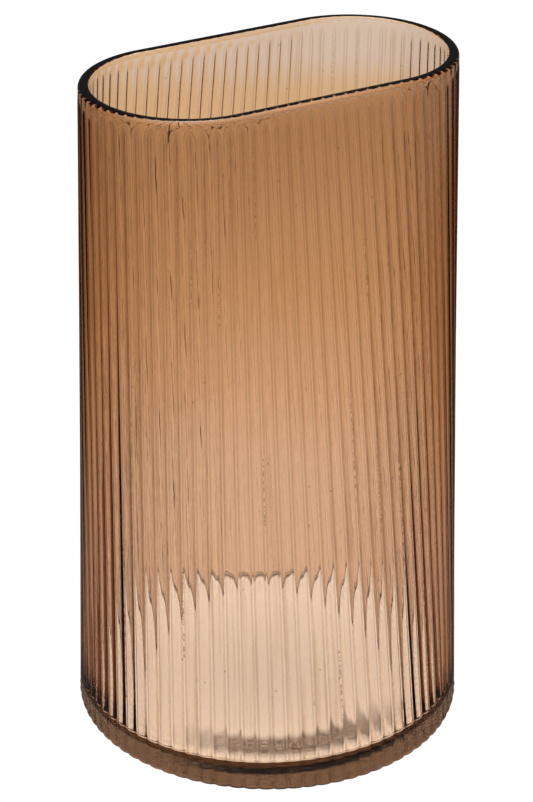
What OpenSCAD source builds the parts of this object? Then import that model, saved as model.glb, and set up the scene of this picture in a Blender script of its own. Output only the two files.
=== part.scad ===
// Ribbed glass vase: a round foot that lofts up into a flattened, straight-sided oval mouth.
// Origin at the middle of the underside, +Z up, the long way of the mouth along X. Millimetres.

/* [Body] */
// Total height
height = 263; // [200:1:320]
// Diameter of the round foot, over the rib crests
foot_d = 150; // [130:1:170]
// Length of the oval mouth, over the lip
mouth_length = 147; // [120:1:165]
// Width of the oval mouth, between its straight sides
mouth_width = 78; // [60:1:110]
// Thickness of the glass in the wall, rib crest to inside
wall = 4; // [3:0.1:6]

/* [Ribs] */
// Number of ribs round the wall
rib_count = 82; // [60:2:100]
// Depth of the groove between two ribs at the foot
rib_depth = 0.6; // [0.2:0.05:1]
// Depth of the groove just below the lip
rib_depth_top = 0.45; // [0.2:0.05:1]
// Height over which the ribs melt into the smooth lip
rib_fade = 1.5; // [1:0.5:8]

/* [Lip] */
// Height of the smooth fire-polished lip
lip_height = 2; // [1.8:0.1:5]
// Radius of the lip's outer edge
lip_round = 1.5; // [0.6:0.1:1.6]
// Radius of the lip's inner edge
lip_round_in = 0.6; // [0.3:0.1:0.8]

/* [Base] */
// Height of the inside floor above the underside
floor_height = 9.6; // [8:0.1:16]
// Height of the foot ring, up to where the side of the base starts
foot_height = 2; // [1:0.1:3]
// Diameter of the hollow inside the foot ring
foot_bore = 112; // [90:1:125]
// Depth of the hollow, from the table up to the underside of the base
hollow_depth = 0.4; // [0.3:0.1:0.9]
// How far the bottom edge is rounded in
edge_round = 1; // [0.4:0.1:1.6]
// Radius of the round between the floor and the wall inside
floor_round = 2; // [1.5:0.5:7]

/* [Hidden] */

glass_colour = [0.66, 0.44, 0.28];
base_colour = [0.42, 0.28, 0.19];

foot_r = foot_d / 2;
end_r = mouth_width / 2;
half_straight = (mouth_length - mouth_width) / 2;
end_arc = PI * end_r;
mouth_round = 4 * half_straight + 2 * end_arc;
lip_bottom = height - lip_height;

points_per_rib = 4;
ring_points = rib_count * points_per_rib;
// the smooth glass above the ribs lies at their mean level
mean_groove = rib_depth_top / 3;
lip_end_r = end_r - mean_groove;
lip_width = wall - mean_groove;

wall_rings = 4;
fade_rings = 2;
round_rings = 2;
curve_fn = 128;
smooth_fn = 48;
step = 0.0005;

// A point of the round foot; u runs once round, from 0 at the middle of the -Y side.
function foot_point(u) = foot_r * [sin(360 * u), -cos(360 * u)];

// A point of half of the mouth, s millimetres along it from the middle of a straight side.
function half_mouth(s) =
    s < half_straight ? [s, -end_r] :
    s < half_straight + end_arc ?
        let (turn = (s - half_straight) / end_arc * 180)
        [half_straight + end_r * sin(turn), -end_r * cos(turn)] :
    [2 * half_straight + end_arc - s, end_r];

// A point of the oval mouth, the same share u of the way round as on the foot.
function mouth_point(u) =
    let (whole = u - floor(u))
    whole < 0.5 ? half_mouth(whole * mouth_round) : -half_mouth((whole - 0.5) * mouth_round);

// The outline over the crests at height z: a straight run from the foot to the mouth.
function outline(u, z) =
    let (share = z / lip_bottom)
    foot_point(u) * (1 - share) + mouth_point(u) * share;

// The level direction that faces out of the wall.
function outward(u, z) =
    let (along = outline(u + step, z) - outline(u - step, z))
    [along[1], -along[0]] / norm(along);

// How far below the crests the rib surface lies at height z: an arch over each rib.
function groove(i, z) =
    let (depth = rib_depth + (rib_depth_top - rib_depth) * z / lip_bottom)
    depth * pow(2 * (i % points_per_rib) / points_per_rib - 1, 2);

// Share of the rib shape that is left at height z.
function rib_share(z) =
    let (share = min(1, max(0, (lip_bottom - z) / rib_fade)))
    share * share * (3 - 2 * share);

// Outer surface at height z, drawn in by inset.
function outer_ring(z, inset = 0) =
    [for (i = [0:ring_points - 1])
        let (
            u = (i - points_per_rib / 2) / ring_points,
            depth = groove(i, z) * rib_share(z) + mean_groove * (1 - rib_share(z)),
            point = outline(u, z) - outward(u, z) * (depth + inset)
        )
        [point[0], point[1], z]];

// Inner surface at height z, smooth, drawn in by inset.
function inner_ring(z, inset = 0) =
    [for (i = [0:ring_points - 1])
        let (
            u = (i - points_per_rib / 2) / ring_points,
            point = outline(u, z) - outward(u, z) * (wall + inset)
        )
        [point[0], point[1], z]];

function flat(rings) = [for (ring = rings) each ring];

// The faces that join ring k to ring k + 1.
function band(k, next) =
    [for (i = [0:ring_points - 1])
        let (
            j = (i + 1) % ring_points,
            a = k * ring_points + i,
            b = k * ring_points + j,
            c = next * ring_points + j,
            d = next * ring_points + i
        )
        each [[a, c, b], [a, d, c]]];

// A closed tube: rings up the outside and down the inside, each joined to the next.
module tube(rings) {
    count = len(rings);
    polyhedron(flat(rings), [for (k = [0:count - 1]) each band(k, (k + 1) % count)]);
}

// A closed plug: rings from the bottom up, with a flat face at each end.
module plug(rings) {
    top = (len(rings) - 1) * ring_points;
    polyhedron(
        flat(rings),
        concat(
            [[for (i = [0:ring_points - 1]) i]],
            [for (k = [0:len(rings) - 2]) each band(k, k + 1)],
            [[for (i = [ring_points - 1:-1:0]) top + i]]
        )
    );
}

module ribbed_wall() {
    fade_bottom = lip_bottom - rib_fade;
    round_top = floor_height + floor_round;
    outside = concat(
        [for (k = [0:wall_rings - 1]) outer_ring(floor_height + (fade_bottom - floor_height) * k / wall_rings)],
        [for (k = [0:fade_rings]) outer_ring(fade_bottom + rib_fade * k / fade_rings)]
    );
    inside = concat(
        [inner_ring(lip_bottom)],
        [for (k = [wall_rings - 1:-1:1]) inner_ring(round_top + (lip_bottom - round_top) * k / wall_rings)],
        [for (k = [0:round_rings])
            let (turn = 90 * k / round_rings)
            inner_ring(round_top - floor_round * sin(turn), floor_round * (1 - cos(turn)))]
    );
    color(glass_colour) tube(concat(outside, inside));
}

// Cross-section of the lip: flat below, with a soft outer edge and a crisper inner one.
module lip_section() {
    flat_end = lip_width - lip_round;
    translate([lip_end_r - lip_width, 0]) intersection() {
        square([lip_width, lip_height]);
        union() {
            square([lip_width, lip_height - lip_round]);
            square([flat_end, lip_height - lip_round_in]);
            translate([lip_round_in, 0]) square([flat_end - lip_round_in, lip_height]);
            translate([lip_round_in, lip_height - lip_round_in]) circle(r = lip_round_in, $fn = smooth_fn);
            translate([flat_end, lip_height - lip_round]) circle(r = lip_round, $fn = smooth_fn);
        }
    }
}

module rim_lip() {
    color(glass_colour) translate([0, 0, lip_bottom]) {
        for (side = [0, 180]) {
            rotate(side) translate([half_straight, 0, 0]) rotate(-90)
                rotate_extrude(angle = 180, $fn = curve_fn) lip_section();
            rotate(side) translate([half_straight, 0, 0]) rotate([90, 0, -90])
                linear_extrude(2 * half_straight) lip_section();
        }
    }
}

// The thick base, with a low round step below that fills the foot ring down to the hollow.
module base_slab() {
    color(base_colour) {
        plug([outer_ring(foot_height), outer_ring(floor_height)]);
        translate([0, 0, hollow_depth])
            cylinder(d = foot_bore, h = (foot_height + floor_height) / 2 - hollow_depth, $fn = curve_fn);
    }
}

module foot_ring() {
    color(base_colour) difference() {
        plug([
            for (k = [0:round_rings])
                let (turn = 90 * k / round_rings)
                outer_ring(foot_height * (1 - cos(turn)), edge_round * (1 - sin(turn)))
        ]);
        translate([0, 0, -1]) cylinder(d = foot_bore, h = foot_height + 2, $fn = curve_fn);
    }
}

ribbed_wall();
rim_lip();
base_slab();
foot_ring();
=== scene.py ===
import math

import bpy
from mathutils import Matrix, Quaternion, Vector


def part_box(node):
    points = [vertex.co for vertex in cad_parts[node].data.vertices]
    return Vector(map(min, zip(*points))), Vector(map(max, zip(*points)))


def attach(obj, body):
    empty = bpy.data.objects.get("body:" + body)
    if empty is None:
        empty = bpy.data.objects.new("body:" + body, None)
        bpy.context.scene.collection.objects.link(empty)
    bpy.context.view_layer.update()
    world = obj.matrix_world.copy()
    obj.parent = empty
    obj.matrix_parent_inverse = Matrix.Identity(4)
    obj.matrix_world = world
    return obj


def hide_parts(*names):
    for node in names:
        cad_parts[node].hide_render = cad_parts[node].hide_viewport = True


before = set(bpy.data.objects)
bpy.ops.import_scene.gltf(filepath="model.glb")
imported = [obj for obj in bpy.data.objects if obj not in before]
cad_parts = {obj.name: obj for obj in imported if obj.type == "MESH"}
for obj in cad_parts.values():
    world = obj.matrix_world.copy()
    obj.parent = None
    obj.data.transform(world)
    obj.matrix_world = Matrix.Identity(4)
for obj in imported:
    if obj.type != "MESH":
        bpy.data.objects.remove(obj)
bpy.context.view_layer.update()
print("frame loaded:", sorted(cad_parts))

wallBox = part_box("ribbed_wall")
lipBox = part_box("rim_lip")
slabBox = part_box("base_slab")
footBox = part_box("foot_ring")

floorZ = slabBox[1][2]      # inside floor of the vase
footTopZ = footBox[1][2]    # where the slab stands on its ring
lipZ = lipBox[0][2]         # where the ribs have melted away and the lip starts
rimZ = lipBox[1][2]

# the form of the whole vase: a round foot that lofts up into a straight-sided oval
form = {
    "footRadius": 0.075,
    "ribCount": 82,
    "ribDepth": 0.0006,
    "topDepthShare": 0.75,    # the ribs grow shallower towards the mouth
    "ribArch": 3.0,           # power of the arch over a rib
    "valleyRound": 12.0,      # power of the round along the groove
    "pointsPerRib": 16,
    "glass": 0.004,
    "ribFade": 0.006,
    "jointGap": 0.00001,
}
# the melted glass of the lip lies at the ribs' mean level
smoothLevel = form["ribDepth"] * form["topDepthShare"] / 3
endRadius = (lipBox[1][1] - lipBox[0][1]) / 2 + smoothLevel
halfStraight = (lipBox[1][0] - lipBox[0][0]) / 2 + smoothLevel - endRadius


# small helpers for node trees

def addNode(tree, kind, **settings):
    node = tree.nodes.new(kind)
    for key, value in settings.items():
        setattr(node, key, value)
    return node


def plug(tree, value, socket):
    if isinstance(value, bpy.types.NodeSocket):
        tree.links.new(value, socket)
    else:
        socket.default_value = value


def mathNode(tree, operation, *values):
    node = addNode(tree, "ShaderNodeMath", operation=operation)
    for socket, value in zip(node.inputs, values):
        plug(tree, value, socket)
    return node.outputs[0]


def vectorNode(tree, operation, *values):
    node = addNode(tree, "ShaderNodeVectorMath", operation=operation)
    sockets = list(node.inputs[:3])
    if operation == "SCALE":
        sockets = [node.inputs[0], node.inputs["Scale"]]
    for socket, value in zip(sockets, values):
        plug(tree, value, socket)
    return node.outputs[0]


def combine(tree, x, y, z):
    node = addNode(tree, "ShaderNodeCombineXYZ")
    for socket, value in zip(node.inputs, (x, y, z)):
        plug(tree, value, socket)
    return node.outputs[0]


def newTree(name, inputs, outputs):
    tree = bpy.data.node_groups.new(name, "GeometryNodeTree")
    for label, kind in inputs:
        tree.interface.new_socket(label, in_out="INPUT", socket_type=kind)
    for label, kind in outputs:
        tree.interface.new_socket(label, in_out="OUTPUT", socket_type=kind)
    return tree


def socketId(tree, label):
    for item in tree.interface.items_tree:
        if item.item_type == "SOCKET" and item.in_out == "INPUT" and item.name == label:
            return item.identifier
    raise KeyError(label)


# the vase's outline at any height, as a node group

formInputs = [
    ("Foot Radius", "NodeSocketFloat"),
    ("Half Straight", "NodeSocketFloat"),
    ("End Radius", "NodeSocketFloat"),
    ("Rise", "NodeSocketFloat"),
]


def makeOutlineGroup():
    places = [("Turn", "NodeSocketFloat"), ("Height", "NodeSocketFloat")]
    tree = newTree("vaseOutline", places + formInputs, [("Point", "NodeSocketVector")])
    given = addNode(tree, "NodeGroupInput").outputs
    turn, height = given["Turn"], given["Height"]
    straight, radius = given["Half Straight"], given["End Radius"]

    # the round foot
    angle = mathNode(tree, "MULTIPLY", turn, 2 * math.pi)
    foot = combine(tree, mathNode(tree, "SINE", angle),
                   mathNode(tree, "MULTIPLY", mathNode(tree, "COSINE", angle), -1.0), 0.0)
    foot = vectorNode(tree, "SCALE", foot, given["Foot Radius"])

    # half of the oval by length along it, and the other half turned about the middle
    endArc = mathNode(tree, "MULTIPLY", radius, math.pi)
    halfLength = mathNode(tree, "MULTIPLY_ADD", straight, 2.0, endArc)
    halves = mathNode(tree, "MULTIPLY", turn, 2.0)
    share = mathNode(tree, "FRACT", halves)
    along = mathNode(tree, "MULTIPLY", share, halfLength)
    pastStraight = mathNode(tree, "SUBTRACT", along, straight)
    pastEnd = mathNode(tree, "SUBTRACT", pastStraight, endArc)
    roundEnd = mathNode(tree, "MINIMUM", mathNode(tree, "MAXIMUM", pastStraight, 0.0), endArc)
    bend = mathNode(tree, "DIVIDE", roundEnd, radius)
    x = mathNode(tree, "MULTIPLY_ADD", mathNode(tree, "SINE", bend), radius, straight)
    x = mathNode(tree, "ADD", x, mathNode(tree, "MINIMUM", pastStraight, 0.0))
    x = mathNode(tree, "SUBTRACT", x, mathNode(tree, "MAXIMUM", pastEnd, 0.0))
    y = mathNode(tree, "MULTIPLY", mathNode(tree, "COSINE", bend), radius)
    y = mathNode(tree, "MULTIPLY", y, -1.0)
    half = mathNode(tree, "FLOORED_MODULO", mathNode(tree, "FLOOR", halves), 2.0)
    mirror = mathNode(tree, "MULTIPLY_ADD", half, -2.0, 1.0)
    mouth = vectorNode(tree, "SCALE", combine(tree, x, y, 0.0), mirror)

    rise = mathNode(tree, "DIVIDE", height, given["Rise"])
    rise = mathNode(tree, "MINIMUM", mathNode(tree, "MAXIMUM", rise, 0.0), 1.0)
    mix = addNode(tree, "ShaderNodeMix", data_type="VECTOR")
    plug(tree, rise, mix.inputs["Factor"])
    plug(tree, foot, mix.inputs[4])
    plug(tree, mouth, mix.inputs[5])
    tree.links.new(mix.outputs[1], addNode(tree, "NodeGroupOutput").inputs["Point"])
    return tree


# the sweep gives the glass its hand-made unevenness
sweep = {
    "wander": 0.0006,
    "ripple": 0.00012,
    "seed": 4.0,
    "driftScale": 2.2,
    "driftRise": 9.0,
    "rippleScale": 55.0,
    "rippleRise": 0.45,       # ripples are longer up the wall than round it
    "rippleFaces": 400.0,     # sets the ripples of the two faces of the wall apart
    "turnStep": 0.0004,
    "groovePower": 6.0,
    "weld": 0.000004,
    "crease": math.radians(55),
}


# the tree sweeps a section round the outline and presses the ribs into it
def makeSweepTree():
    inputs = [
        ("Section", "NodeSocketGeometry"),
        *formInputs,
        ("Rib Count", "NodeSocketInt"),
        ("Points Per Rib", "NodeSocketInt"),
        ("Rib Depth", "NodeSocketFloat"),
        ("Wander", "NodeSocketFloat"),
        ("Ripple", "NodeSocketFloat"),
        ("Seed", "NodeSocketFloat"),
        ("Glass", "NodeSocketMaterial"),
    ]
    tree = newTree("blownSweep", inputs, [("Geometry", "NodeSocketGeometry")])
    given = addNode(tree, "NodeGroupInput").outputs
    section = given["Section"]

    size = addNode(tree, "GeometryNodeAttributeDomainSize", component="MESH")
    plug(tree, section, size.inputs[0])
    rows = size.outputs["Point Count"]
    around = mathNode(tree, "MULTIPLY", given["Rib Count"], given["Points Per Rib"])
    grid = addNode(tree, "GeometryNodeMeshGrid")
    plug(tree, mathNode(tree, "ADD", around, 1.0), grid.inputs["Vertices X"])
    plug(tree, rows, grid.inputs["Vertices Y"])

    index = addNode(tree, "GeometryNodeInputIndex").outputs[0]
    column = mathNode(tree, "FLOOR", mathNode(tree, "DIVIDE", mathNode(tree, "ADD", index, 0.5), rows))
    row = mathNode(tree, "SUBTRACT", index, mathNode(tree, "MULTIPLY", column, rows))

    def sampled(attribute, kind, at):
        node = addNode(tree, "GeometryNodeSampleIndex", data_type=kind)
        plug(tree, section, node.inputs["Geometry"])
        if attribute == "position":
            plug(tree, addNode(tree, "GeometryNodeInputPosition").outputs[0], node.inputs["Value"])
        else:
            named = addNode(tree, "GeometryNodeInputNamedAttribute", data_type=kind)
            named.inputs["Name"].default_value = attribute
            plug(tree, named.outputs["Attribute"], node.inputs["Value"])
        plug(tree, at, node.inputs["Index"])
        return node.outputs["Value"]

    place = addNode(tree, "ShaderNodeSeparateXYZ")
    plug(tree, sampled("position", "FLOAT_VECTOR", row), place.inputs[0])
    inset, shrink, height = place.outputs
    ribs = sampled("ribs", "FLOAT", row)

    # where this column stands: a groove at every whole rib, a crest between two grooves
    ribTurn = mathNode(tree, "DIVIDE", column, given["Points Per Rib"])
    across = mathNode(tree, "MULTIPLY_ADD", mathNode(tree, "FRACT", ribTurn), 2.0, -1.0)
    across = mathNode(tree, "ABSOLUTE", across)
    # an arch over each rib, with the bottom of the groove a little round
    taper = form["ribArch"] / form["valleyRound"]
    arch = mathNode(tree, "POWER", across, form["ribArch"])
    valley = mathNode(tree, "POWER", across, form["valleyRound"])
    arch = mathNode(tree, "MULTIPLY_ADD", valley, -taper, arch)
    arch = mathNode(tree, "DIVIDE", arch, 1.0 - taper)
    turn = mathNode(tree, "DIVIDE", mathNode(tree, "SUBTRACT", ribTurn, 0.5), given["Rib Count"])

    outlineGroup = makeOutlineGroup()

    def outline(atTurn):
        node = addNode(tree, "GeometryNodeGroup", node_tree=outlineGroup)
        plug(tree, atTurn, node.inputs["Turn"])
        plug(tree, height, node.inputs["Height"])
        for label, kind in formInputs:
            plug(tree, given[label], node.inputs[label])
        return node.outputs["Point"]

    # ribs wander a little to the side, as hot glass does
    ringAngle = mathNode(tree, "MULTIPLY", turn, 2 * math.pi)
    ringSine, ringCosine = mathNode(tree, "SINE", ringAngle), mathNode(tree, "COSINE", ringAngle)
    driftHeight = mathNode(tree, "MULTIPLY", height, sweep["driftRise"])
    driftPlace = combine(tree, ringSine, ringCosine, driftHeight)
    drift = addNode(tree, "ShaderNodeTexNoise", noise_dimensions="4D")
    plug(tree, driftPlace, drift.inputs["Vector"])
    plug(tree, given["Seed"], drift.inputs["W"])
    drift.inputs["Scale"].default_value = sweep["driftScale"]
    drift.inputs["Detail"].default_value = 2.0
    sway = mathNode(tree, "SUBTRACT", drift.outputs[0], 0.5)
    sway = mathNode(tree, "MULTIPLY", sway, given["Wander"])
    turnNow = mathNode(tree, "ADD", turn, mathNode(tree, "MULTIPLY", sway, ribs))
    centre = outline(turnNow)
    ahead = outline(mathNode(tree, "ADD", turnNow, sweep["turnStep"]))
    behind = outline(mathNode(tree, "SUBTRACT", turnNow, sweep["turnStep"]))
    way = vectorNode(tree, "NORMALIZE", vectorNode(tree, "SUBTRACT", ahead, behind))
    outward = vectorNode(tree, "CROSS_PRODUCT", way, (0.0, 0.0, 1.0))

    # shallow ripples in the surface, different on the two faces of the wall
    ripple = addNode(tree, "ShaderNodeTexNoise", noise_dimensions="4D")
    rippleHeight = combine(tree, 0.0, 0.0, mathNode(tree, "MULTIPLY", height, sweep["rippleRise"]))
    plug(tree, vectorNode(tree, "ADD", outline(turn), rippleHeight), ripple.inputs["Vector"])
    face = mathNode(tree, "MULTIPLY_ADD", inset, sweep["rippleFaces"], given["Seed"])
    plug(tree, face, ripple.inputs["W"])
    ripple.inputs["Scale"].default_value = sweep["rippleScale"]
    ripple.inputs["Detail"].default_value = 2.0
    lift = mathNode(tree, "SUBTRACT", ripple.outputs[0], 0.5)
    lift = mathNode(tree, "MULTIPLY", lift, given["Ripple"])

    depth = mathNode(tree, "MULTIPLY", mathNode(tree, "MULTIPLY", arch, given["Rib Depth"]), ribs)
    depth = mathNode(tree, "ADD", depth, mathNode(tree, "ADD", inset, lift))
    pressed = vectorNode(tree, "SUBTRACT", centre, vectorNode(tree, "SCALE", outward, depth))
    flat = vectorNode(tree, "SCALE", pressed, mathNode(tree, "SUBTRACT", 1.0, shrink))
    spot = vectorNode(tree, "ADD", flat, combine(tree, 0.0, 0.0, height))
    setPosition = addNode(tree, "GeometryNodeSetPosition")
    plug(tree, grid.outputs["Mesh"], setPosition.inputs["Geometry"])
    plug(tree, spot, setPosition.inputs["Position"])

    def stored(geometry, name, value, domain="POINT", kind="FLOAT"):
        node = addNode(tree, "GeometryNodeStoreNamedAttribute", data_type=kind, domain=domain)
        plug(tree, geometry, node.inputs["Geometry"])
        node.inputs["Name"].default_value = name
        plug(tree, value, node.inputs["Value"])
        return node.outputs["Geometry"]

    # the stores come before the merge, because they read the grid's own indices
    strips = mathNode(tree, "SUBTRACT", rows, 1.0)
    stripColumn = mathNode(tree, "DIVIDE", mathNode(tree, "ADD", index, 0.5), strips)
    stripColumn = mathNode(tree, "FLOOR", stripColumn)
    strip = mathNode(tree, "SUBTRACT", index, mathNode(tree, "MULTIPLY", stripColumn, strips))
    swept = stored(setPosition.outputs["Geometry"], "joint", sampled("joint", "FLOAT", strip), "FACE")
    groove = mathNode(tree, "POWER", across, sweep["groovePower"])
    swept = stored(swept, "groove", mathNode(tree, "MULTIPLY", groove, ribs))
    swept = stored(swept, "ribSide", ribs)
    ringPlace = combine(tree, ringSine, ringCosine, height)
    swept = stored(swept, "ringPlace", ringPlace, "POINT", "FLOAT_VECTOR")

    merge = addNode(tree, "GeometryNodeMergeByDistance")
    plug(tree, swept, merge.inputs["Geometry"])
    merge.inputs["Distance"].default_value = sweep["weld"]
    smooth = addNode(tree, "GeometryNodeSetShadeSmooth", domain="FACE")
    plug(tree, merge.outputs["Geometry"], smooth.inputs["Geometry"])
    crease = addNode(tree, "GeometryNodeSetShadeSmooth", domain="EDGE")
    plug(tree, smooth.outputs["Geometry"], crease.inputs["Geometry"])
    edgeAngle = addNode(tree, "GeometryNodeInputMeshEdgeAngle").outputs["Unsigned Angle"]
    plug(tree, mathNode(tree, "GREATER_THAN", edgeAngle, sweep["crease"]), crease.inputs["Selection"])
    crease.inputs["Shade Smooth"].default_value = False
    realize = addNode(tree, "GeometryNodeRealizeInstances")
    plug(tree, crease.outputs["Geometry"], realize.inputs["Geometry"])
    paint = addNode(tree, "GeometryNodeSetMaterial")
    plug(tree, realize.outputs["Geometry"], paint.inputs["Geometry"])
    plug(tree, given["Glass"], paint.inputs["Material"])
    tree.links.new(paint.outputs["Geometry"], addNode(tree, "NodeGroupOutput").inputs["Geometry"])
    return tree


sweepTree = makeSweepTree()
print("sweep tree made:", len(sweepTree.nodes), "nodes")


# real clear glass: a thin wall is pale, two walls are amber and the thick base is brown
glassLook = {
    "roughness": 0.01,
    "baseRoughness": 0.12,
    "ior": 1.5,
    "paintedGrooveShade": (0.66, 0.59, 0.53, 1.0),       # painted shade in the slopes on both sides of a groove
    "grooveShadeFrom": 0.008,
    "grooveShadeTo": 0.1,
    "lightLineFrom": 0.45,                      # and the groove line itself left unshaded, a painted light line
    "lightLineTo": 0.75,
    "paintedEdgeShade": (0.07, 0.035, 0.02, 1.0),      # painted shade on glass seen edge on
    "edgeShadeFrom": 0.5,
    "edgeShadeTo": 0.74,
    "innerFrom": 0.3,                       # the same, met from inside the glass
    "innerTo": 0.42,
    "streaks": 34.0,                        # fine lines drawn up the wall, in noise cells per radian
    "streakLength": 14.0,
    "streakFrom": 0.52,
    "streakTo": 0.72,
    "streakTint": (0.72, 0.64, 0.55, 1.0),
    "streakRelief": 0.00003,
    "seed": (0.2, 0.1, 0.06, 1.0),          # tiny bubbles
    "seedCells": 125.0,
    "seedSize": 0.045,
    "stringCells": 13.0,                    # strings of bubbles along a few grooves
    "stringLength": 16.0,
    "stringAbove": 0.7,
    "beadLength": 1300.0,
    "beadAbove": 0.52,
    "stringGroove": 0.6,
}
wallTint = {"colour": (0.673, 0.463, 0.262, 1.0), "density": 300.0}
baseTint = {"colour": (0.6, 0.44, 0.27, 1.0), "density": 30.0}


def smoothFade(tree, value, fromLow, fromHigh, toLow, toHigh):
    node = addNode(tree, "ShaderNodeMapRange", interpolation_type="SMOOTHSTEP")
    for socket, given in zip(node.inputs, (value, fromLow, fromHigh, toLow, toHigh)):
        plug(tree, given, socket)
    return node.outputs["Result"]


def mixColour(tree, amount, first, second, blend="MIX"):
    node = addNode(tree, "ShaderNodeMix", data_type="RGBA", blend_type=blend)
    for socket, given in zip((node.inputs[0], node.inputs[6], node.inputs[7]), (amount, first, second)):
        plug(tree, given, socket)
    return node.outputs[2]


def noise(tree, place, scale, detail=2.0):
    node = addNode(tree, "ShaderNodeTexNoise")
    plug(tree, place, node.inputs["Vector"])
    node.inputs["Scale"].default_value = scale
    node.inputs["Detail"].default_value = detail
    return node.outputs["Fac"]


# painted shade: a dark mottled patch on the contact ring along one side
paintedRingShade = {
    "radius": 0.053,
    "width": 0.009,
    "core": 0.4,                  # share of the width that is fully shaded
    "side": math.radians(-106),
    "sideFrom": 0.5,
    "sideTo": 0.92,
    "below": 0.0015,
    "grain": 900.0,
    "grainFrom": 0.3,
    "grainTo": 0.6,
    "grainLeast": 0.75,
    "steep": 0.3,                 # the painted shade fades where light skims along inside the base
    "shallow": 0.5,
    "colour": (0.03, 0.02, 0.015, 1.0),
}


def paintedRingShadeMask(tree, place, facing):
    apart = addNode(tree, "ShaderNodeSeparateXYZ")
    plug(tree, place, apart.inputs[0])
    level = combine(tree, apart.outputs["X"], apart.outputs["Y"], 0.0)
    reach = addNode(tree, "ShaderNodeVectorMath", operation="LENGTH")
    plug(tree, level, reach.inputs[0])
    offRing = mathNode(tree, "SUBTRACT", reach.outputs["Value"], paintedRingShade["radius"])
    offRing = mathNode(tree, "ABSOLUTE", offRing)
    ring = smoothFade(tree, offRing, paintedRingShade["core"] * paintedRingShade["width"], paintedRingShade["width"], 1.0, 0.0)
    toSide = addNode(tree, "ShaderNodeVectorMath", operation="DOT_PRODUCT")
    plug(tree, vectorNode(tree, "NORMALIZE", level), toSide.inputs[0])
    toSide.inputs[1].default_value = (math.cos(paintedRingShade["side"]), math.sin(paintedRingShade["side"]), 0.0)
    patch = smoothFade(tree, toSide.outputs["Value"], paintedRingShade["sideFrom"], paintedRingShade["sideTo"], 0.0, 1.0)
    low = mathNode(tree, "LESS_THAN", apart.outputs["Z"], paintedRingShade["below"])
    grain = noise(tree, place, paintedRingShade["grain"], 3.0)
    grain = smoothFade(tree, grain, paintedRingShade["grainFrom"], paintedRingShade["grainTo"], paintedRingShade["grainLeast"], 1.0)
    steep = smoothFade(tree, facing, paintedRingShade["steep"], paintedRingShade["shallow"], 1.0, 0.0)
    mask = mathNode(tree, "MULTIPLY", mathNode(tree, "MULTIPLY", ring, patch), steep)
    return mathNode(tree, "MULTIPLY", mask, mathNode(tree, "MULTIPLY", low, grain))


def ringNoise(tree, ring, cells, length, detail):
    return noise(tree, vectorNode(tree, "MULTIPLY", ring, (cells, cells, length)), 1.0, detail)


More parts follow.
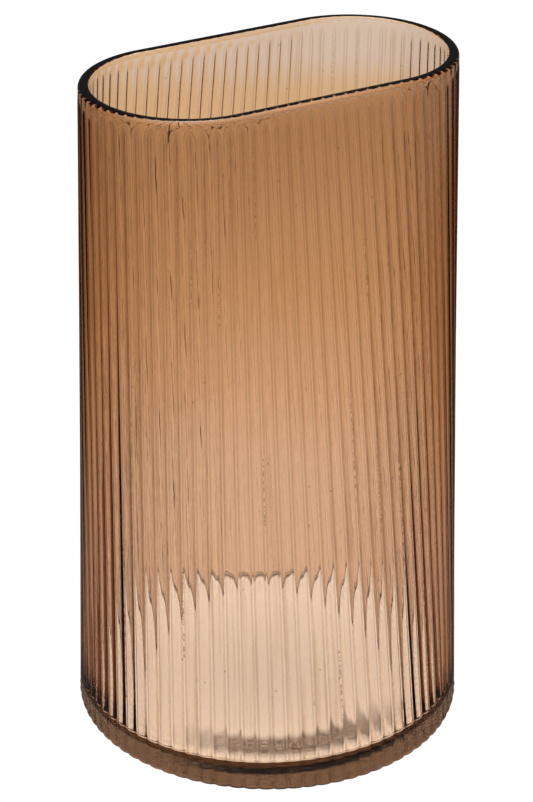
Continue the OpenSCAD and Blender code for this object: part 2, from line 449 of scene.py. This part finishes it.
def makeGlass(name, tint, isBase):
    glass = bpy.data.materials.new(name)
    glass.use_nodes = True
    tree = glass.node_tree
    tree.nodes.clear()
    out = addNode(tree, "ShaderNodeOutputMaterial")
    shader = addNode(tree, "ShaderNodeBsdfPrincipled")
    roughness = glassLook["baseRoughness"] if isBase else glassLook["roughness"]
    shader.inputs["Roughness"].default_value = roughness
    shader.inputs["IOR"].default_value = glassLook["ior"]
    shader.inputs["Transmission Weight"].default_value = 1.0

    # faces where two zones of the glass meet don't bend the light
    joint = addNode(tree, "ShaderNodeAttribute", attribute_name="joint").outputs["Fac"]
    bend = mathNode(tree, "MULTIPLY_ADD", joint, 1.0 - glassLook["ior"], glassLook["ior"])
    tree.links.new(bend, shader.inputs["IOR"])

    side = addNode(tree, "ShaderNodeAttribute", attribute_name="ribSide").outputs["Fac"]
    groove = addNode(tree, "ShaderNodeAttribute", attribute_name="groove").outputs["Fac"]
    ring = addNode(tree, "ShaderNodeAttribute", attribute_name="ringPlace").outputs["Vector"]
    place = addNode(tree, "ShaderNodeTexCoord").outputs["Object"]
    facing = addNode(tree, "ShaderNodeLayerWeight").outputs["Facing"]
    inside = addNode(tree, "ShaderNodeNewGeometry").outputs["Backfacing"]
    outside = mathNode(tree, "SUBTRACT", 1.0, inside)
    white = (1.0, 1.0, 1.0, 1.0)

    # painted shade: the slopes beside each groove are darkened, and the groove line itself is left as a
    # painted light line
    clear = smoothFade(tree, groove, glassLook["lightLineFrom"], glassLook["lightLineTo"], 1.0, 0.0)
    slope = smoothFade(tree, groove, glassLook["grooveShadeFrom"], glassLook["grooveShadeTo"], 0.0, 1.0)
    slope = mathNode(tree, "MULTIPLY", slope, clear)
    streak = ringNoise(tree, ring, glassLook["streaks"], glassLook["streakLength"], 4.0)

    if isBase:
        # the painted groove shade goes on from outside only, so the light that bounces along inside the
        # base isn't tinted again at every rib
        seenGrooveShade = mathNode(tree, "MULTIPLY", mathNode(tree, "MULTIPLY", side, outside), slope)
        colour = mixColour(tree, seenGrooveShade, white, glassLook["paintedGrooveShade"])
        # painted shade on the contact ring, a mottled patch along one side
        colour = mixColour(tree, paintedRingShadeMask(tree, place, facing), colour, paintedRingShade["colour"])
    else:
        # painted shade: glass seen edge on is darkened by Layer Weight facing, from outside and from
        # inside
        edgeOut = smoothFade(tree, facing, glassLook["edgeShadeFrom"], glassLook["edgeShadeTo"], 0.0, 1.0)
        edgeIn = smoothFade(tree, facing, glassLook["innerFrom"], glassLook["innerTo"], 0.0, 1.0)
        edge = mathNode(tree, "ADD", mathNode(tree, "MULTIPLY", inside, edgeIn),
                        mathNode(tree, "MULTIPLY", outside, edgeOut))
        # painted groove shade in the slopes
        colour = mixColour(tree, slope, white, glassLook["paintedGrooveShade"])
        colour = mixColour(tree, edge, colour, glassLook["paintedEdgeShade"])
        lines = smoothFade(tree, streak, glassLook["streakFrom"], glassLook["streakTo"], 0.0, 1.0)
        colour = mixColour(tree, lines, colour, glassLook["streakTint"], "MULTIPLY")

        bubbles = addNode(tree, "ShaderNodeTexVoronoi")
        plug(tree, place, bubbles.inputs["Vector"])
        bubbles.inputs["Scale"].default_value = glassLook["seedCells"]
        seeds = mathNode(tree, "LESS_THAN", bubbles.outputs["Distance"], glassLook["seedSize"])
        stretches = ringNoise(tree, ring, glassLook["stringCells"], glassLook["stringLength"], 0.0)
        stretches = mathNode(tree, "GREATER_THAN", stretches, glassLook["stringAbove"])
        beads = ringNoise(tree, ring, glassLook["stringCells"], glassLook["beadLength"], 0.0)
        beads = mathNode(tree, "GREATER_THAN", beads, glassLook["beadAbove"])
        strings = mathNode(tree, "MULTIPLY", stretches, beads)
        deep = mathNode(tree, "GREATER_THAN", groove, glassLook["stringGroove"])
        strings = mathNode(tree, "MULTIPLY", strings, deep)
        colour = mixColour(tree, mathNode(tree, "MAXIMUM", seeds, strings), colour, glassLook["seed"])
        colour = mixColour(tree, side, white, colour)
    tree.links.new(colour, shader.inputs["Base Color"])

    relief = addNode(tree, "ShaderNodeBump")
    relief.inputs["Distance"].default_value = glassLook["streakRelief"]
    plug(tree, mathNode(tree, "MULTIPLY", streak, side), relief.inputs["Height"])
    tree.links.new(relief.outputs[0], shader.inputs["Normal"])

    soak = addNode(tree, "ShaderNodeVolumeAbsorption")
    soak.inputs["Color"].default_value = tint["colour"]
    soak.inputs["Density"].default_value = tint["density"]
    tree.links.new(shader.outputs[0], out.inputs["Surface"])
    tree.links.new(soak.outputs[0], out.inputs["Volume"])
    print("glass made:", name)
    return glass


# each piece is a section, swept round the outline

# a row is its inset, its shrink towards the middle, its height, its share of the ribs and 1 for a joint
def makePiece(name, rows, node, glass):
    mesh = bpy.data.meshes.new(name + "Section")
    mesh.from_pydata([(inset, shrink, z) for inset, shrink, z, ribs, joint in rows],
                     [(i, i + 1) for i in range(len(rows) - 1)], [])
    mesh.attributes.new("ribs", "FLOAT", "POINT").data.foreach_set("value", [r[3] for r in rows])
    mesh.attributes.new("joint", "FLOAT", "POINT").data.foreach_set("value", [float(r[4]) for r in rows])
    source = bpy.data.objects.new(name + "Source", mesh)
    bpy.context.scene.collection.objects.link(source)
    modifier = source.modifiers.new("sweep", "NODES")
    modifier.node_group = sweepTree
    values = {
        "Foot Radius": form["footRadius"],
        "Half Straight": halfStraight,
        "End Radius": endRadius,
        "Rise": lipZ,
        "Rib Count": form["ribCount"],
        "Points Per Rib": form["pointsPerRib"],
        "Rib Depth": form["ribDepth"],
        "Wander": sweep["wander"],
        "Ripple": sweep["ripple"],
        "Seed": sweep["seed"],
        "Glass": glass,
    }
    for label, value in values.items():
        modifier[socketId(sweepTree, label)] = value
    evaluated = source.evaluated_get(bpy.context.evaluated_depsgraph_get())
    finished = bpy.data.meshes.new_from_object(evaluated)
    finished.name = name
    piece = bpy.data.objects.new(name, finished)
    bpy.context.scene.collection.objects.link(piece)
    bpy.data.objects.remove(source)
    bpy.data.meshes.remove(mesh)
    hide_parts(node)
    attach(piece, "root")
    print(name, "faces:", len(finished.polygons))
    return piece


def evenly(low, high, count):
    return [low + (high - low) * i / count for i in range(count + 1)]


def ease(share):
    share = min(1.0, max(0.0, share))
    return share * share * (3 - 2 * share)


# the ribbed wall, smooth inside, with a round down to the floor
wall = {"outerRows": 30, "fadeRows": 6, "innerRows": 16, "roundRows": 5, "floorRound": 0.002}


def depthShare(z):
    return 1 - (1 - form["topDepthShare"]) * z / lipZ


def wallRows():
    gap = form["jointGap"]
    low, high = floorZ + gap, lipZ - gap
    fadeZ = lipZ - form["ribFade"]
    rows = [(0.0, 0.0, z, depthShare(z), 0) for z in evenly(low, fadeZ, wall["outerRows"])]
    for z in evenly(fadeZ, high, wall["fadeRows"])[1:]:
        share = ease((lipZ - z) / form["ribFade"])
        rows.append((smoothLevel * (1 - share), 0.0, z, share * depthShare(z), 0))
    rows[-1] = rows[-1][:4] + (1,)
    roundTop = floorZ + wall["floorRound"]
    rows += [(form["glass"], 0.0, z, 0.0, 0) for z in evenly(high, roundTop, wall["innerRows"])]
    for turn in evenly(0.0, math.pi / 2, wall["roundRows"])[1:]:
        rows.append((form["glass"] + wall["floorRound"] * (1 - math.cos(turn)), 0.0,
                     max(low, roundTop - wall["floorRound"] * math.sin(turn)), 0.0, 0))
    rows[-1] = rows[-1][:4] + (1,)
    rows.append(rows[0])
    return rows


# the fire-polished lip: a soft outer edge and a crisper inner one
lip = {"sideRows": 2, "outerRound": 0.0015, "innerRound": 0.0006, "roundRows": 8}


def lipRows():
    gap = form["jointGap"]
    low = lipZ + gap
    outerTop, innerTop = rimZ - lip["outerRound"], rimZ - lip["innerRound"]
    outerMiddle = smoothLevel + lip["outerRound"]
    innerMiddle = form["glass"] - lip["innerRound"]
    rows = [(smoothLevel, 0.0, z, 0.0, 0) for z in evenly(low, outerTop, lip["sideRows"])]
    for turn in evenly(0.0, math.pi / 2, lip["roundRows"])[1:]:
        rows.append((outerMiddle - lip["outerRound"] * math.cos(turn), 0.0,
                     outerTop + lip["outerRound"] * math.sin(turn), 0.0, 0))
    for turn in evenly(math.pi / 2, math.pi, lip["roundRows"]):
        rows.append((innerMiddle - lip["innerRound"] * math.cos(turn), 0.0,
                     innerTop + lip["innerRound"] * math.sin(turn), 0.0, 0))
    rows += [(form["glass"], 0.0, z, 0.0, 0) for z in evenly(innerTop, low, lip["sideRows"])[1:]]
    rows[-1] = rows[-1][:4] + (1,)
    rows.append(rows[0])
    return rows


# the underside: a flat contact ring, then a soft slope up into a very shallow hollow
under = {"boreRadius": 0.056, "slopeOuter": 0.060, "slopeInner": 0.025, "slopeRows": 8}
hollowZ = slabBox[0][2]


def underRow(radius, ribs=0.0, joint=0):
    share = ease((under["slopeOuter"] - radius) / (under["slopeOuter"] - under["slopeInner"]))
    return (0.0, 1 - radius / form["footRadius"], hollowZ * share, ribs, joint)


# the thick base, with the thin line that the mould left just above the foot
slab = {"sideRows": 4, "seamProud": 0.00015, "seamHeight": 0.0006, "seamRows": 6}


def slabRows():
    gap = form["jointGap"]
    low, high = footTopZ + gap, floorZ - gap
    plugRadius = under["boreRadius"] - gap
    rows = [(0.0, 1.0, hollowZ, 0.0, 0)]
    rows += [underRow(radius) for radius in evenly(under["slopeInner"], plugRadius, under["slopeRows"])]
    rows[-1] = rows[-1][:4] + (1,)
    rows.append((0.0, 1 - plugRadius / form["footRadius"], low, 0.0, 1))
    for turn in evenly(0.0, math.pi, slab["seamRows"]):
        seamZ = low + slab["seamHeight"] * turn / math.pi
        rows.append((-slab["seamProud"] * math.sin(turn), 0.0, seamZ, 1.0, 0))
    rows += [(0.0, 0.0, z, 1.0, 0) for z in evenly(low + slab["seamHeight"], high, slab["sideRows"])[1:]]
    rows[-1] = rows[-1][:4] + (1,)
    rows.append((form["glass"] + wall["floorRound"], 0.0, high, 0.0, 0))
    rows.append((0.0, 1.0, high, 0.0, 0))
    return rows


# the ring that the vase stands on, with its rounded bottom edge
foot = {"edgeRound": 0.001, "edgeRows": 6}


def footRows():
    gap = form["jointGap"]
    bore = under["boreRadius"] + gap
    rows = [(0.0, 1 - bore / form["footRadius"], footTopZ - gap, 0.0, 1)]
    rows += [underRow(radius) for radius in evenly(bore, under["slopeOuter"], under["slopeRows"])]
    for turn in evenly(0.0, math.pi / 2, foot["edgeRows"]):
        rows.append((foot["edgeRound"] * (1 - math.sin(turn)), 0.0,
                     min(footTopZ - gap, footTopZ * (1 - math.cos(turn))), 1.0, 0))
    rows[-1] = rows[-1][:4] + (1,)
    rows.append(rows[0])
    return rows


wallGlass = makeGlass("amberWallGlass", wallTint, False)
baseGlass = makeGlass("paleBaseGlass", baseTint, True)
makePiece("ribbedWall", wallRows(), "ribbed_wall", wallGlass)
makePiece("rimLip", lipRows(), "rim_lip", wallGlass)
makePiece("baseSlab", slabRows(), "base_slab", baseGlass)
makePiece("footRing", footRows(), "foot_ring", baseGlass)


# the light table and the air round the vase
studio = {
    "floorHalf": 4.0,
    "floorZ": -0.0002,
    "seen": 1.05,          # how bright the table and the air look by themselves
    "glowNear": 1.74,      # what the glass gathers from the table close to the vase
    "glowFar": 1.01,
    "glowStart": 0.12,
    "glowEnd": 0.65,
    "paintedShadowUnder": 0.78,     # painted shadow: dimmer right under the vase
    "underEnd": 0.085,
    "paintedAmberShadow": (1.0, 0.81, 0.55, 1.0),       # painted amber shadow of the vase on the table round it
    "warmStart": 0.12,
    "warmEnd": 0.42,
    "plainStart": 0.66,
    "plainEnd": 0.74,
    "mirrored": 0.05,      # share of it that the outside of the glass mirrors
    "airLow": 1.5,
    "airHigh": 0.03,
    "airFrom": 0.8,        # the air darkens straight overhead
    "airTo": 0.95,
}


def asLit(tree, level):
    ray = addNode(tree, "ShaderNodeLightPath").outputs
    mirrored = mathNode(tree, "MULTIPLY_ADD", ray["Is Reflection Ray"], studio["mirrored"] - 1.0, 1.0)
    gathered = mathNode(tree, "MULTIPLY", level, mirrored)
    seen = addNode(tree, "ShaderNodeMix", data_type="FLOAT")
    plug(tree, ray["Is Camera Ray"], seen.inputs[0])
    plug(tree, gathered, seen.inputs[2])
    plug(tree, studio["seen"], seen.inputs[3])
    return seen.outputs[0]


def makePaper():
    paper = bpy.data.materials.new("litWhiteTable")
    paper.use_nodes = True
    tree = paper.node_tree
    tree.nodes.clear()
    reach = addNode(tree, "ShaderNodeVectorMath", operation="LENGTH")
    plug(tree, addNode(tree, "ShaderNodeTexCoord").outputs["Object"], reach.inputs[0])
    reach = reach.outputs["Value"]

    level = smoothFade(
        tree, reach, studio["glowStart"], studio["glowEnd"], studio["glowNear"], studio["glowFar"])
    # painted shadow of the vase on the table right under it
    dim = smoothFade(tree, reach, 0.0, studio["underEnd"], studio["paintedShadowUnder"], 1.0)
    level = mathNode(tree, "MULTIPLY", level, dim)

    plain = (1.0, 1.0, 1.0, 1.0)
    # painted amber shadow of the vase on the table, a ring round it, seen only by rays that aren't
    # camera rays
    warming = smoothFade(tree, reach, studio["warmStart"], studio["warmEnd"], 0.0, 1.0)
    cooling = smoothFade(tree, reach, studio["plainStart"], studio["plainEnd"], 0.0, 1.0)
    warm = mixColour(tree, warming, plain, studio["paintedAmberShadow"])
    warm = mixColour(tree, cooling, warm, plain)
    seen = addNode(tree, "ShaderNodeLightPath").outputs["Is Camera Ray"]
    warm = mixColour(tree, seen, warm, plain)

    glow = addNode(tree, "ShaderNodeEmission")
    plug(tree, warm, glow.inputs["Color"])
    plug(tree, asLit(tree, level), glow.inputs["Strength"])
    tree.links.new(glow.outputs[0], addNode(tree, "ShaderNodeOutputMaterial").inputs["Surface"])
    return paper


tableMesh = bpy.data.meshes.new("lightTable")
half = studio["floorHalf"]
corners = [(-half, -half, 0), (half, -half, 0), (half, half, 0), (-half, half, 0)]
tableMesh.from_pydata(corners, [], [(0, 1, 2, 3)])
tableMesh.materials.append(makePaper())
lightTable = bpy.data.objects.new("lightTable", tableMesh)
lightTable.location.z = studio["floorZ"]
bpy.context.scene.collection.objects.link(lightTable)

studioAir = bpy.data.worlds.new("studioAir")
bpy.context.scene.world = studioAir
studioAir.use_nodes = True
airTree = studioAir.node_tree
upward = addNode(airTree, "ShaderNodeSeparateXYZ")
plug(airTree, addNode(airTree, "ShaderNodeTexCoord").outputs["Generated"], upward.inputs[0])
airLevel = smoothFade(airTree, upward.outputs["Z"], studio["airFrom"], studio["airTo"],
                      studio["airLow"], studio["airHigh"])
background = airTree.nodes["Background"]
background.inputs["Color"].default_value = (1, 1, 1, 1)
plug(airTree, asLit(airTree, airLevel), background.inputs["Strength"])
print("studio made")

# seen across the long way of the mouth, from above
view = {
    "turn": math.radians(-120.5),
    "pitch": math.radians(27.2),
    "roll": math.radians(0.35),
    "distance": 1.071,
    "aimSide": -0.00103,
    "aimZ": 0.1273,
    "lens": 189.7,
    "sensor": 36.0,
}
camera = bpy.data.cameras.new("camera")
camera.sensor_fit = "HORIZONTAL"
camera.sensor_width = view["sensor"]
camera.lens = view["lens"]
cameraObject = bpy.data.objects.new("camera", camera)
turnCosine, turnSine = math.cos(view["turn"]), math.sin(view["turn"])
aim = Vector((-turnSine * view["aimSide"], turnCosine * view["aimSide"], view["aimZ"]))
levelShare = math.cos(view["pitch"])
backward = Vector((turnCosine * levelShare, turnSine * levelShare, math.sin(view["pitch"])))
cameraObject.location = aim + backward * view["distance"]
rolled = (-backward).to_track_quat("-Z", "Y") @ Quaternion((0, 0, 1), view["roll"])
cameraObject.rotation_euler = rolled.to_euler()
bpy.context.scene.collection.objects.link(cameraObject)
bpy.context.scene.camera = cameraObject
print("camera placed")

scene = bpy.context.scene
scene.view_settings.view_transform = "Standard"
scene.cycles.max_bounces = 32
scene.cycles.transmission_bounces = 32
scene.cycles.glossy_bounces = 12
scene.cycles.transparent_max_bounces = 16
